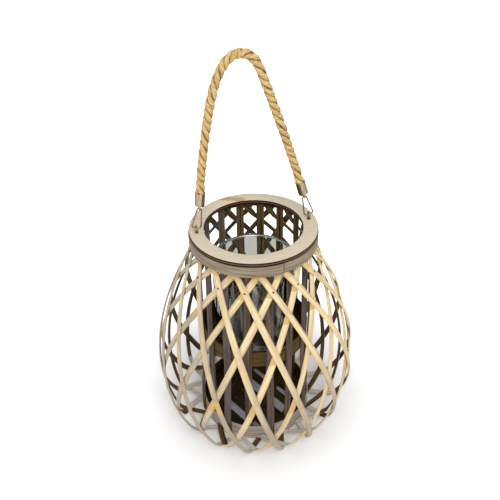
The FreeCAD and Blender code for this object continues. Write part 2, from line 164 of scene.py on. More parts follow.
class LanternFinish(bpy.types.PropertyGroup):
    """Colours of the finishes."""

    straw: colour("Straw", "Bare willow", (0.94, 0.85, 0.67))
    straw_deep: colour("Deep straw", "Darker streaks in bare willow", (0.85, 0.73, 0.53))
    wash: colour("Wash", "Thin grey wash on the willow", (0.64, 0.59, 0.52))
    spray_side: FloatProperty(
        name="Spray side", description="Side from which the wash was sprayed", default=math.radians(169.0), subtype="ANGLE"
    )
    mist: colour("Mist", "Spray that settled on the inner side, under the body", (0.93, 0.90, 0.86))
    amber: colour("Amber", "Unwashed willow beside a crossing", (0.80, 0.66, 0.41))
    bark: colour("Bark", "Inner side of the strips", (0.45, 0.35, 0.195))
    bark_deep: colour("Deep bark", "Darker streaks on the inner side", (0.15, 0.105, 0.045))
    slat_wash: colour("Slat wash", "Grey wash on the slats", (0.46, 0.42, 0.40))
    slat_deep: colour("Deep slat wash", "Darker streaks on the slats", (0.31, 0.27, 0.24))
    ring_top: colour("Ring", "Washed face of the ring", (0.83, 0.785, 0.70))
    ring_grain: colour("Ring grain", "Grain lines of the ring", (0.73, 0.67, 0.57))
    ring_bare: colour("Bare ring", "Patch of the ring that the wash missed", (0.68, 0.575, 0.41))
    # Also painted along the lapped end of the bent wood as shade of the step.
    scorch_and_lap_shade: colour("Ring edge", "Scorched edge of the ring", (0.13, 0.08, 0.045))
    ring_ply: colour("Ring ply", "Middle ply on the ring's edge", (0.40, 0.305, 0.205))
    band_wash: colour("Band", "Washed face of the band", (0.62, 0.57, 0.49))
    band_grain: colour("Band grain", "Grain lines of the band", (0.465, 0.41, 0.335))
    hoop_wash: colour("Hoops", "Washed face of the hoops", (0.745, 0.70, 0.65))
    hoop_grain: colour("Hoop grain", "Grain lines of the hoops", (0.56, 0.505, 0.455))
    splint: colour("Splints", "Floor splints", (0.25, 0.185, 0.075))
    splint_deep: colour("Splint grain", "Grain lines of the splints", (0.12, 0.085, 0.03))
    rope: colour("Rope", "Rope fibres", (0.78, 0.635, 0.395))
    rope_pale: colour("Pale rope", "Bleached fibres of the rope", (0.90, 0.785, 0.56))
    # Dark colour for the fibre specks and for the painted shade in the rope's grooves.
    rope_shade_and_specks: colour("Deep rope", "Rope in its grooves", (0.37, 0.255, 0.12))
    nickel: colour("Nickel", "Ferrules, eyes and links", (0.62, 0.56, 0.46))
    wire: colour("Wire", "Bright side of the wire links and eyes", (0.58, 0.50, 0.39))
    # Dull colour of the tarnished streaks, also painted as shade where the nickel is seen edge-on.
    nickel_tarnish_and_shade: colour("Dull nickel", "Tarnish on the nickel", (0.30, 0.24, 0.17))
    steel: colour("Steel", "Brads", (0.26, 0.23, 0.20))
    shelf_face: colour("Shelf hoop", "Bare face of the shelf hoop", (0.42, 0.35, 0.18))
    shelf_grain: colour("Shelf grain", "Grain lines of the shelf hoop", (0.22, 0.17, 0.07))


class LanternStage(bpy.types.PropertyGroup):
    """Camera, light and floor."""

    camera_reach: length("Camera reach", "Distance of the camera from the axis", 0.5692)
    camera_rise: length("Camera rise", "Height of the camera above the ring", 0.3684)
    camera_turn: FloatProperty(
        name="Camera turn", description="Turn of the camera about the axis", default=math.radians(-11.3), subtype="ANGLE"
    )
    camera_yaw: FloatProperty(
        name="Camera yaw", description="Turn of the view", default=math.radians(-0.45), subtype="ANGLE"
    )
    camera_pitch: FloatProperty(
        name="Camera pitch", description="Tilt of the view downwards", default=math.radians(35.27), subtype="ANGLE"
    )
    camera_roll: FloatProperty(
        name="Camera roll", description="Roll of the view", default=math.radians(-1.08), subtype="ANGLE"
    )
    lens: FloatProperty(name="Lens", description="Focal length in millimetres", default=42.71)
    floor_size: length("Floor size", "Half of the floor's side", 6.0)
    key_power: FloatProperty(name="Key light", description="Watts of the key light", default=27.0, unit="POWER")
    fill_power: FloatProperty(name="Fill light", description="Watts of the fill light", default=7.0, unit="POWER")
    sky: FloatProperty(name="Sky", description="Strength of the light from all round", default=0.58)
    shadow_r: length("Shadow reach", "Distance up to which the floor keeps the whole shadow", 0.07)
    white_r: length("White reach", "Distance from which the floor is plain white", 0.36)


def linear(shown):
    """Scene value of a colour as it is seen on screen."""
    return tuple(c / 12.92 if c <= 0.04045 else ((c + 0.055) / 1.055) ** 2.4 for c in shown) + (1.0,)


class Net:
    """Adds nodes to a material or a node group and gives back their sockets."""

    def __init__(self, tree):
        self.tree = tree

    def feed(self, socket, value):
        """Link a socket, or set a plain value on it."""
        if isinstance(value, bpy.types.NodeSocket):
            self.tree.links.new(value, socket)
        else:
            socket.default_value = value

    def put(self, kind, inputs, **settings):
        """One node with its inputs fed."""
        node = self.tree.nodes.new(kind)
        for name, value in settings.items():
            setattr(node, name, value)
        for socket, value in inputs.items():
            self.feed(node.inputs[socket], value)
        return node

    def math(self, operation, first, second=0.0, third=0.0):
        return self.put("ShaderNodeMath", {0: first, 1: second, 2: third}, operation=operation).outputs[0]

    def vector(self, operation, first, second=(0.0, 0.0, 0.0)):
        return self.put("ShaderNodeVectorMath", {0: first, 1: second}, operation=operation).outputs[0]

    def scaled(self, place, scale):
        """A place with each of its directions scaled."""
        return self.vector("MULTIPLY", place, scale)

    def mix(self, share, first, second):
        return self.put("ShaderNodeMix", {0: share, 6: first, 7: second}, data_type="RGBA").outputs[2]

    def shade(self, share, base, tint):
        """A colour multiplied by a tint where the share is high."""
        return self.put("ShaderNodeMix", {0: share, 6: base, 7: tint}, data_type="RGBA", blend_type="MULTIPLY").outputs[2]

    def between(self, value, low, high):
        """Ease from 0 at low to 1 at high."""
        inputs = {"Value": value, "From Min": low, "From Max": high}
        return self.put("ShaderNodeMapRange", inputs, interpolation_type="SMOOTHSTEP").outputs[0]

    def noise(self, place, scale, detail=2.0, roughness=0.5):
        inputs = {"Vector": place, "Scale": scale, "Detail": detail, "Roughness": roughness}
        return self.put("ShaderNodeTexNoise", inputs).outputs[0]

    def attribute(self, name):
        return self.put("ShaderNodeAttribute", {}, attribute_name=name)

    def parts(self, place):
        """The x, y and z of a place."""
        return self.put("ShaderNodeSeparateXYZ", {0: place}).outputs

    def group(self, tree, inputs):
        node = self.tree.nodes.new("ShaderNodeGroup")
        node.node_tree = tree
        for socket, value in inputs.items():
            self.feed(node.inputs[socket], value)
        return node.outputs


def new_group(name, inputs, outputs):
    """An empty node group with its sockets, its net, its input sockets and its output node."""
    tree = bpy.data.node_groups.new(name, "ShaderNodeTree")
    for label, kind in inputs:
        tree.interface.new_socket(label, in_out="INPUT", socket_type=kind)
    for label, kind in outputs:
        tree.interface.new_socket(label, in_out="OUTPUT", socket_type=kind)
    entry = tree.nodes.new("NodeGroupInput")
    leave = tree.nodes.new("NodeGroupOutput")
    return tree, Net(tree), entry.outputs, leave


def wood_grain():
    """Node group: long streaks, fine fibres and a height along the z of a place in metres."""
    if "wood_grain" in bpy.data.node_groups:
        return bpy.data.node_groups["wood_grain"]
    tree, net, entry, leave = new_group(
        "wood_grain",
        [("Place", "NodeSocketVector"), ("Fineness", "NodeSocketFloat")],
        [("Streaks", "NodeSocketFloat"), ("Fibres", "NodeSocketFloat"), ("Height", "NodeSocketFloat")],
    )
    fine = net.put("ShaderNodeVectorMath", {0: entry["Place"], "Scale": entry["Fineness"]}, operation="SCALE").outputs[0]
    streaks = net.noise(net.scaled(fine, (1.0, 1.0, 0.035)), 520.0, 3.0, 0.55)
    fibres = net.noise(net.scaled(fine, (1.0, 1.0, 0.02)), 2300.0, 2.0, 0.6)
    pores = net.between(net.noise(net.scaled(fine, (1.0, 1.0, 0.05)), 1500.0, 1.0, 0.5), 0.60, 0.72)
    net.feed(leave.inputs["Streaks"], net.between(streaks, 0.34, 0.68))
    net.feed(leave.inputs["Fibres"], net.math("MAXIMUM", net.between(fibres, 0.48, 0.75), pores))
    net.feed(leave.inputs["Height"], net.math("SUBTRACT", net.math("MULTIPLY", streaks, 0.6), pores))
    return tree


def worn_wash():
    """Node group: mask of a thin wash that is rubbed away in long patches."""
    if "worn_wash" in bpy.data.node_groups:
        return bpy.data.node_groups["worn_wash"]
    tree, net, entry, leave = new_group(
        "worn_wash",
        [("Place", "NodeSocketVector"), ("Amount", "NodeSocketFloat")],
        [("Mask", "NodeSocketFloat")],
    )
    broad = net.noise(net.scaled(entry["Place"], (1.0, 1.0, 0.16)), 190.0, 3.0, 0.6)
    brushed = net.noise(net.scaled(entry["Place"], (1.0, 1.0, 0.03)), 1300.0, 2.0, 0.6)
    sum_of = net.math("ADD", net.math("MULTIPLY", broad, 0.7), net.math("MULTIPLY", brushed, 0.3))
    middle = net.math("MULTIPLY_ADD", entry["Amount"], -0.4, 0.7)
    mask = net.between(sum_of, net.math("SUBTRACT", middle, 0.1), net.math("ADD", middle, 0.1))
    net.feed(leave.inputs["Mask"], mask)
    return tree


def new_material(name, gloss=0.5):
    """A material, its net and its Principled shader."""
    material = bpy.data.materials.new(name)
    material.use_nodes = True
    shader = material.node_tree.nodes["Principled BSDF"]
    shader.inputs["Specular IOR Level"].default_value = gloss
    return material, Net(material.node_tree), shader


def relief(net, shader, height, strength, distance):
    """Raise the surface by a height."""
    bump = net.put("ShaderNodeBump", {"Height": height, "Strength": strength, "Distance": distance})
    net.feed(shader.inputs["Normal"], bump.outputs[0])


def piece_place(net):
    """A bent piece's place as if it were straight, shifted so that no two pieces are alike."""
    tone = net.attribute("tone").outputs["Fac"]
    place = net.attribute("grain").outputs["Vector"]
    shift = net.put("ShaderNodeCombineXYZ", {0: net.math("MULTIPLY", tone, 3.1), 2: net.math("MULTIPLY", tone, 17.0)})
    return net.vector("ADD", place, shift.outputs[0]), place, tone


def willow_material(finish, name, amber_share, skew, wash_share, low_share, under_run):
    """Split willow: straw with a rubbed grey wash, amber beside crossings and dark bark inside."""
    material, net, shader = new_material(name, 0.25)
    shifted, place, tone = piece_place(net)
    across, rise, along = net.parts(place)[:3]
    streaks, fibres, height = net.group(wood_grain(), {"Place": shifted, "Fineness": 1.0})[:3]
    worn = net.group(worn_wash(), {"Place": shifted, "Amount": 0.42})[0]

    straw = net.mix(streaks, linear(finish.straw), linear(finish.straw_deep))
    wander = net.noise(net.scaled(shifted, (0.0, 0.0, 1.0)), 45.0, 2.0)
    wandering = net.math("MULTIPLY_ADD", wander, 0.006, -0.003)
    # Greyer along one edge of each strip: partly the thin wash, partly painted shade on the side of the strip turned
    # from the light.
    edge_wash_and_shade = net.between(net.math("ADD", across, wandering), 0.0012, 0.0032)
    where = net.put("ShaderNodeTexCoord", {}).outputs["Object"]
    facing = net.put("ShaderNodeVectorMath", {0: where, 1: around(1.0, finish.spray_side, 0.0)}, operation="DOT_PRODUCT")
    sprayed = net.between(facing.outputs["Value"], 0.0, 0.11)
    low_wash = net.between(along, 0.09, 0.26)
    heavy = net.math("MAXIMUM", net.math("MULTIPLY", low_wash, 0.75), sprayed)
    patches = net.math("MULTIPLY", worn, net.math("MULTIPLY_ADD", heavy, 0.5, 0.3))
    wash = net.math("MAXIMUM", net.math("MULTIPLY", edge_wash_and_shade, 0.8), patches)
    wash = net.math("MULTIPLY", wash, net.math("MULTIPLY_ADD", tone, 0.6, 0.4))
    wash = net.math("MULTIPLY_ADD", sprayed, wash_share, wash)
    low_wash = net.math("MULTIPLY", low_wash, net.math("MULTIPLY_ADD", tone, low_share * 0.4, low_share * 0.6))
    wash = net.math("MINIMUM", net.math("ADD", wash, low_wash), 0.92)
    outside = net.mix(wash, straw, linear(finish.wash))

    # A bare amber patch lies just below some crossings, where the other strip once covered it.
    row = net.attribute("row").outputs["Fac"]
    slanted = net.math("MULTIPLY_ADD", across, skew, row)
    crossing = net.math("ROUND", net.math("SUBTRACT", row, 0.15))
    number = net.math("ROUND", net.math("MULTIPLY", tone, 977.0))
    spot = net.put("ShaderNodeCombineXYZ", {0: crossing, 1: number}).outputs[0]
    chances = net.parts(net.put("ShaderNodeTexWhiteNoise", {0: spot}, noise_dimensions="2D").outputs["Color"])
    centre = net.math("MULTIPLY_ADD", chances[0], 0.14, 0.04)
    apart = net.math("ABSOLUTE", net.math("SUBTRACT", net.math("SUBTRACT", slanted, crossing), centre))
    patch = net.between(apart, 0.135, 0.12)
    picked = net.math("GREATER_THAN", chances[1], 1.0 - amber_share)
    patch = net.math("MULTIPLY", net.math("MULTIPLY", patch, picked), 0.9)
    # The band kept the spray off the strips' tops.
    band_run = ring_low.z - band_low.z
    below_band = net.math("ADD", along, net.math("MULTIPLY", wandering, 1.2))
    patch = net.math("MAXIMUM", patch, net.math("MULTIPLY", net.between(below_band, band_run + 0.013, band_run + 0.008), 0.6))
    outside = net.mix(patch, outside, linear(finish.amber))
    outside = net.shade(net.math("MULTIPLY", fibres, 0.22), outside, (0.55, 0.47, 0.38, 1.0))

    bark = net.mix(streaks, linear(finish.bark), linear(finish.bark_deep))
    # Spray from above also caught the inner side where the strips run in under the body.
    length_between = net.math("FLOOR", slanted)
    spot = net.put("ShaderNodeCombineXYZ", {0: length_between, 1: number}).outputs[0]
    caught = net.put("ShaderNodeTexWhiteNoise", {0: spot}, noise_dimensions="2D").outputs["Value"]
    caught = net.math("MULTIPLY", net.math("GREATER_THAN", caught, 0.36), net.between(along, under_run, under_run + 0.003))
    pale = net.mix(streaks, linear(finish.mist), linear(finish.hoop_wash))
    inside = net.mix(net.math("MULTIPLY", caught, 0.9), bark, pale)
    skin = net.between(rise, 0.0001, 0.0006)
    net.feed(shader.inputs["Base Color"], net.mix(skin, inside, outside))
    net.feed(shader.inputs["Roughness"], net.math("MULTIPLY_ADD", fibres, 0.2, 0.5))
    relief(net, shader, height, 0.5, 0.0003)
    return material


def slat_material(finish):
    """Upright slats: grey wash outside, bark inside and bare bark where they pass the foot hoop."""
    material, net, shader = new_material("slat_willow", 0.12)
    shifted, place, tone = piece_place(net)
    across, rise, along = net.parts(place)[:3]
    streaks, fibres, height = net.group(wood_grain(), {"Place": shifted, "Fineness": 0.9})[:3]
    worn = net.group(worn_wash(), {"Place": shifted, "Amount": 0.7})[0]
    washed = net.mix(streaks, linear(finish.slat_wash), linear(finish.slat_deep))
    bark = net.mix(streaks, linear(finish.bark), linear(finish.bark_deep))
    greyness = net.math("MULTIPLY_ADD", tone, 0.75, 0.1)
    outside = net.mix(net.math("MULTIPLY_ADD", worn, 0.3, greyness), bark, washed)
    foot = net.between(along, 0.024, 0.0225)
    outside = net.mix(foot, outside, bark)
    outside = net.shade(net.math("MULTIPLY", fibres, 0.4), outside, (0.5, 0.42, 0.35, 1.0))
    where = net.put("ShaderNodeTexCoord", {}).outputs["Object"]
    facing = net.put("ShaderNodeVectorMath", {0: where, 1: around(1.0, finish.spray_side, 0.0)}, operation="DOT_PRODUCT")
    sprayed = net.math("MULTIPLY", net.between(facing.outputs["Value"], 0.012, 0.028), 0.75)
    inside = net.mix(sprayed, bark, washed)
    skin = net.between(rise, 0.0001, 0.0006)
    net.feed(shader.inputs["Base Color"], net.mix(skin, inside, outside))
    net.feed(shader.inputs["Roughness"], net.between(fibres, -2.0, 1.6))
    relief(net, shader, height, 0.5, 0.0003)
    return material


def bent_wood_material(finish, name, face, grain_lines):
    """Bent wood: a washed face with grain that follows the bend, and bare brown wood inside."""
    material, net, shader = new_material(name, 0.12)
    shifted, place, tone = piece_place(net)
    thick, rise, along = net.parts(place)[:3]
    streaks, fibres, height = net.group(wood_grain(), {"Place": shifted, "Fineness": 1.1})[:3]
    worn = net.group(worn_wash(), {"Place": shifted, "Amount": 0.8})[0]
    washed = net.mix(streaks, linear(face), linear(grain_lines))
    bark = net.mix(streaks, linear(finish.splint), linear(finish.splint_deep))
    outside = net.mix(net.between(worn, -0.9, 0.5), bark, washed)
    outside = net.shade(net.math("MULTIPLY", fibres, 0.4), outside, (0.55, 0.48, 0.42, 1.0))
    skin = net.between(thick, 0.35, 0.6)
    wood = net.mix(skin, bark, outside)
    # Painted shade: a dark line at the lapped end stands in for the shadow of the step.
    lap = net.between(along, 0.0014, 0.0004)
    net.feed(shader.inputs["Base Color"], net.mix(net.math("MULTIPLY", lap, 0.8), wood, linear(finish.scorch_and_lap_shade)))
    net.feed(shader.inputs["Roughness"], net.between(fibres, -2.2, 1.6))
    relief(net, shader, height, 0.45, 0.0003)
    return material


def ring_material(finish, outer_r, inner_r):
    """Plywood ring: straight grain under a pale wash, scorched brown on its cut edges."""
    material, net, shader = new_material("ring_plywood", 0.15)
    where = net.put("ShaderNodeTexCoord", {}).outputs["Object"]
    turned = net.put("ShaderNodeMapping", {"Vector": where, "Rotation": (0.0, math.radians(90.0), math.radians(24.0))}).outputs[0]
    streaks, fibres, height = net.group(wood_grain(), {"Place": turned, "Fineness": 1.7})[:3]
    worn = net.group(worn_wash(), {"Place": turned, "Amount": 0.75})[0]
    grain = net.math("MULTIPLY", streaks, 0.4)
    face = net.mix(grain, linear(finish.ring_top), linear(finish.ring_grain))
    face = net.mix(net.math("MULTIPLY_ADD", worn, -0.3, 0.3), face, linear(finish.ring_grain))
    face = net.shade(net.math("MULTIPLY", fibres, 0.16), face, (0.6, 0.52, 0.44, 1.0))
    # The wash missed a straight stripe at the back, up to where it meets the outer edge.
    stripe_turn = math.radians(-20.0)
    stripe = net.put("ShaderNodeVectorRotate", {"Vector": where, "Angle": -stripe_turn}, rotation_type="Z_AXIS").outputs[0]
    run, off = net.parts(stripe)[:2]
    bare = net.math("MULTIPLY", net.between(off, 0.0512, 0.0520), net.between(off, 0.0612, 0.0604))
    bare = net.math("MULTIPLY", bare, net.between(run, -0.0185, -0.0200))
    face = net.mix(net.math("MULTIPLY", bare, 0.85), face, linear(finish.ring_bare))
    flat = net.scaled(where, (1.0, 1.0, 0.0))
    radius = net.put("ShaderNodeVectorMath", {0: flat}, operation="LENGTH").outputs["Value"]
    outer_edge = net.between(radius, outer_r - 0.0009, outer_r - 0.0002)
    inner_edge = net.between(radius, inner_r + 0.0009, inner_r + 0.0002)
    edge = net.math("MAXIMUM", outer_edge, inner_edge)
    thick = ring_high.z - ring_low.z
    from_middle = net.math("ABSOLUTE", net.math("SUBTRACT", net.parts(where)[2], ring_low.z + thick * 0.55))
    ply = net.between(from_middle, thick * 0.16, thick * 0.09)
    plies = net.mix(ply, linear(finish.scorch_and_lap_shade), linear(finish.ring_ply))
    net.feed(shader.inputs["Base Color"], net.mix(edge, face, plies))
    net.feed(shader.inputs["Roughness"], net.between(fibres, -2.4, 1.6))
    relief(net, shader, height, 0.15, 0.0002)
    return material


def splint_material(finish, name, upper_z, lower_turn, upper_turn):
    """Floor splints: bare brown wood whose grain follows each crossing layer."""
    material, net, shader = new_material(name, 0.1)
    where = net.put("ShaderNodeTexCoord", {}).outputs["Object"]
    upper = net.math("GREATER_THAN", net.parts(where)[2], upper_z)
    places = []
    for turn in (lower_turn, upper_turn):
        turned = net.put("ShaderNodeVectorRotate", {"Vector": where, "Angle": -turn}, rotation_type="Z_AXIS").outputs[0]
        x, y, z = net.parts(turned)[:3]
        places.append(net.put("ShaderNodeCombineXYZ", {0: y, 1: z, 2: x}).outputs[0])
    place = net.put("ShaderNodeMix", {0: upper, 4: places[0], 5: places[1]}, data_type="VECTOR").outputs[1]
    streaks, fibres, height = net.group(wood_grain(), {"Place": place, "Fineness": 0.6})[:3]
    wood = net.mix(streaks, linear(finish.splint), linear(finish.splint_deep))
    wood = net.shade(net.math("MULTIPLY", fibres, 0.4), wood, (0.5, 0.42, 0.35, 1.0))
    net.feed(shader.inputs["Base Color"], wood)
    net.feed(shader.inputs["Roughness"], net.between(fibres, -2.2, 1.6))
    relief(net, shader, height, 0.4, 0.0003)
    return material


def rope_material(finish):
    """Twisted rope: bleached fibres along each strand, dark fibre specks, and painted shade in uneven dark grooves
    between the strands.
    """
    material, net, shader = new_material("rope_fibre", 0.2)
    place = net.attribute("grain").outputs["Vector"]
    depth = net.attribute("row").outputs["Fac"]
    fine = net.noise(net.scaled(place, (1.0, 1.0, 0.06)), 2600.0, 3.0, 0.65)
    streaks = net.noise(net.scaled(place, (1.0, 1.0, 0.14)), 950.0, 2.0, 0.6)
    broad = net.noise(net.scaled(place, (1.0, 1.0, 0.3)), 260.0, 3.0, 0.6)
    fibres = net.mix(net.between(streaks, 0.36, 0.66), linear(finish.rope), linear(finish.rope_pale))
    # Painted shade: the colour darkens in the grooves, nearest the rope's middle, in uneven stretches.
    groove_shade = net.math("MULTIPLY", net.between(depth, 0.97, 0.66), net.between(broad, 0.30, 0.58))
    specks = net.math("MULTIPLY", net.between(fine, 0.48, 0.68), net.between(streaks, 0.60, 0.36))
    dark = net.math("MAXIMUM", groove_shade, net.math("MULTIPLY", specks, 0.8))
    net.feed(shader.inputs["Base Color"], net.mix(dark, fibres, linear(finish.rope_shade_and_specks)))
    net.feed(shader.inputs["Roughness"], net.between(fine, -3.0, 0.9))
    relief(net, shader, net.math("ADD", fine, streaks), 0.9, 0.0006)
    return material


def metal_material(name, bright, dull, roughness):
    """Plated metal, tarnished in long streaks, with fine scuffs and painted shade where the surface is seen edge-on."""
    material, net, shader = new_material(name)
    where = net.put("ShaderNodeTexCoord", {}).outputs["Object"]
    streak = net.noise(net.scaled(where, (1.0, 1.0, 0.06)), 520.0, 3.0, 0.6)
    scuff = net.noise(net.scaled(where, (1.0, 1.0, 0.12)), 2600.0, 2.0, 0.6)
    # Painted shade: the colour turns to the dull tint where the surface is seen edge-on, besides the tarnished streaks.
    edge = net.put("ShaderNodeLayerWeight", {"Blend": 0.5}).outputs["Facing"]
    tarnish_and_edge_shade = net.math("MULTIPLY", net.between(streak, 0.40, 0.66), 0.5)
    tarnish_and_edge_shade = net.math("MAXIMUM", net.between(edge, 0.18, 0.62), tarnish_and_edge_shade)
    net.feed(shader.inputs["Base Color"], net.mix(tarnish_and_edge_shade, linear(bright), linear(dull)))
    shader.inputs["Metallic"].default_value = 1.0
    rough = net.put("ShaderNodeMapRange", {"Value": scuff, "To Min": roughness * 0.7, "To Max": roughness * 1.5}).outputs[0]
    net.feed(shader.inputs["Roughness"], rough)
    relief(net, shader, scuff, 0.12, 0.0001)
    return material


def glass_material():
    """Smoky clear glass with a ground foot, a bright rim that is partly a painted highlight, and painted shade where
    the wall is seen edge-on, that lets light through to what it shades.
    """
    material, net, shader = new_material("clear_glass")
    where = net.put("ShaderNodeTexCoord", {}).outputs["Object"]
    ripple = net.noise(net.scaled(where, (1.0, 1.0, 0.3)), 45.0, 1.0, 0.5)
    height = net.parts(where)[2]
    rim = net.between(height, glass_high.z - 0.003, glass_high.z - 0.001)
    foot = net.between(height, glass_low.z + 0.004, glass_low.z + 0.001)
    # Painted shade: the tint turns dark where the wall is seen edge-on, standing in for dark surroundings seen in the
    # glass's sides.
    edge_on_painted_shade = net.between(net.put("ShaderNodeLayerWeight", {"Blend": 0.5}).outputs["Facing"], 0.5, 0.85)
    tint = net.mix(edge_on_painted_shade, (0.70, 0.70, 0.62, 1.0), (0.16, 0.15, 0.11, 1.0))
    # Painted highlight: the rim's tint is near white so that the rim shows bright; the coat on the rim adds a strong
    # reflection as well.
    net.feed(shader.inputs["Base Color"], net.mix(rim, tint, (1.0, 1.0, 0.96, 1.0)))
    shader.inputs["Transmission Weight"].default_value = 1.0
    net.feed(shader.inputs["Coat Weight"], rim)
    shader.inputs["Coat Roughness"].default_value = 0.25
    shader.inputs["Coat IOR"].default_value = 2.6
    shader.inputs["IOR"].default_value = 1.48
    net.feed(shader.inputs["Roughness"], net.math("MULTIPLY_ADD", net.math("MAXIMUM", rim, foot), 0.4, 0.005))
    relief(net, shader, ripple, 0.008, 0.0006)
    clear = net.put("ShaderNodeBsdfTransparent", {"Color": (0.90, 0.93, 0.91, 1.0)})
    shadow = net.put("ShaderNodeLightPath", {}).outputs["Is Shadow Ray"]
    both = net.put("ShaderNodeMixShader", {0: shadow, 1: shader.outputs[0], 2: clear.outputs[0]})
    leave = material.node_tree.nodes["Material Output"]
    net.feed(leave.inputs["Surface"], both.outputs[0])
    return material


def floor_material(shadow_r, white_r):
    """White floor that keeps the shadow under and beside the lantern, with a painted dark grey shadow in a disc under
    the lantern.
    """
    material, net, shader = new_material("studio_floor", 0.0)
    where = net.put("ShaderNodeTexCoord", {}).outputs["Object"]
    reach = net.put("ShaderNodeVectorMath", {0: where}, operation="LENGTH").outputs["Value"]
    # Painted shadow: inside the shadow reach the floor is painted dark grey.
    beyond_painted_shadow = net.between(reach, shadow_r - 0.008, shadow_r)
    tint = net.mix(beyond_painted_shadow, (0.40, 0.40, 0.44, 1.0), (0.88, 0.88, 0.88, 1.0))
    net.feed(shader.inputs["Base Color"], tint)
    shader.inputs["Roughness"].default_value = 0.9
    path = net.put("ShaderNodeLightPath", {}).outputs
    mirrored = net.math("SUBTRACT", path["Is Glossy Ray"], path["Is Transmission Ray"])
    seen = net.math("MAXIMUM", path["Is Camera Ray"], mirrored)
    strength = net.math("MULTIPLY", seen, net.between(reach, shadow_r, white_r))
    glow = net.put("ShaderNodeEmission", {"Color": (1.0, 1.0, 1.0, 1.0), "Strength": strength})
    both = net.put("ShaderNodeAddShader", {0: shader.outputs[0], 1: glow.outputs[0]})
    net.feed(material.node_tree.nodes["Material Output"].inputs["Surface"], both.outputs[0])
    return material


def columns(across, outward, along, place):
    """Matrix from a profile's own directions to a place."""
    matrix = Matrix.Identity(4)
    for index, column in enumerate((across, outward, along, place)):
        for line in range(3):
            matrix[line][index] = column[line]
    return matrix


def swept(profile, frames, runs, rows, tone, twist=0.0):
    """A bmesh made by extruding a closed profile through frames, with grain, row and tone on its points."""
    bm = bmesh.new()
    grain = bm.verts.layers.float_vector.new("grain")
    row = bm.verts.layers.float.new("row")
    shade = bm.verts.layers.float.new("tone")
    ring = []
    for x, y in profile:
        vert = bm.verts.new((x, y, 0.0))
        vert[grain] = Vector((x, y, runs[0]))
        vert[row] = rows[0]
        vert[shade] = tone
        ring.append(vert)
    edges = [bm.edges.new((a, b)) for a, b in zip(ring, ring[1:] + ring[:1])]
    ends = [list(edges)]
    bmesh.ops.transform(bm, matrix=frames[0], verts=ring)
    for index in range(1, len(frames)):
        made = bmesh.ops.extrude_edge_only(bm, edges=edges)["geom"]
        ring = [part for part in made if isinstance(part, bmesh.types.BMVert)]
        edges = [part for part in made if isinstance(part, bmesh.types.BMEdge)]
        bmesh.ops.transform(bm, matrix=frames[index] @ frames[index - 1].inverted(), verts=ring)
        step = runs[index] - runs[index - 1]
        spin = Matrix.Rotation(twist * step, 3, "Z")
        for vert in ring:
            vert[grain] = spin @ Vector((vert[grain].x, vert[grain].y, runs[index]))
            vert[row] = rows[index]
    ends.append(edges)
    for loop in ends:
        bmesh.ops.edgeloop_fill(bm, edges=loop)
    bmesh.ops.recalc_face_normals(bm, faces=bm.faces)
    return bm


def add_piece(name, bm, material, body, nodes, sharp=math.radians(38.0)):
    """Turn a bmesh into a piece that rides on a body and stands for its nodes."""
    for face in bm.faces:
        face.smooth = True
    for edge in bm.edges:
        edge.smooth = edge.calc_face_angle(0.0) < sharp
    mesh = bpy.data.meshes.new(name)
    bm.to_mesh(mesh)
    bm.free()
    mesh.materials.append(material)
    piece = bpy.data.objects.new(name, mesh)
    bpy.context.scene.collection.objects.link(piece)
    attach(piece, body)
    if nodes:
        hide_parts(*nodes)
    return piece


def dress_node(name, material):
    """Give a kept CAD node its finish."""
    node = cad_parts[name]
    if not node.material_slots:
        node.data.materials.append(material)
    for place in node.material_slots:
        place.material = material


def ease(share):
    """Ease from 0 to 1 with level ends."""
    share = max(0.0, min(1.0, share))
    return share * share * (3.0 - 2.0 * share)


def around(radius, angle, height):
    """Point at a radius and an angle about the axis."""
    return Vector((radius * math.cos(angle), radius * math.sin(angle), height))


def half_round(width, edge, crown):
    """Closed half-round profile, flat at y = 0, with softened corners."""
    half = width / 2.0
    soft = edge * 0.35
    points = [(-half + soft, 0.0), (half - soft, 0.0), (half, soft), (half, edge * 0.75)]
    steps = 8
    for index in range(steps + 1):
        x = half * 0.94 * (1.0 - 2.0 * index / steps)
        points.append((x, edge + (crown - edge) * (1.0 - (x / half) ** 2)))
    points += [(-half, edge * 0.75), (-half, soft)]
    return points


def strip_room(sizes, wood):
    """Radius inside the band that the strips reach."""
    return wood.band_outer_r - wood.band_thickness - sizes.band_clearance


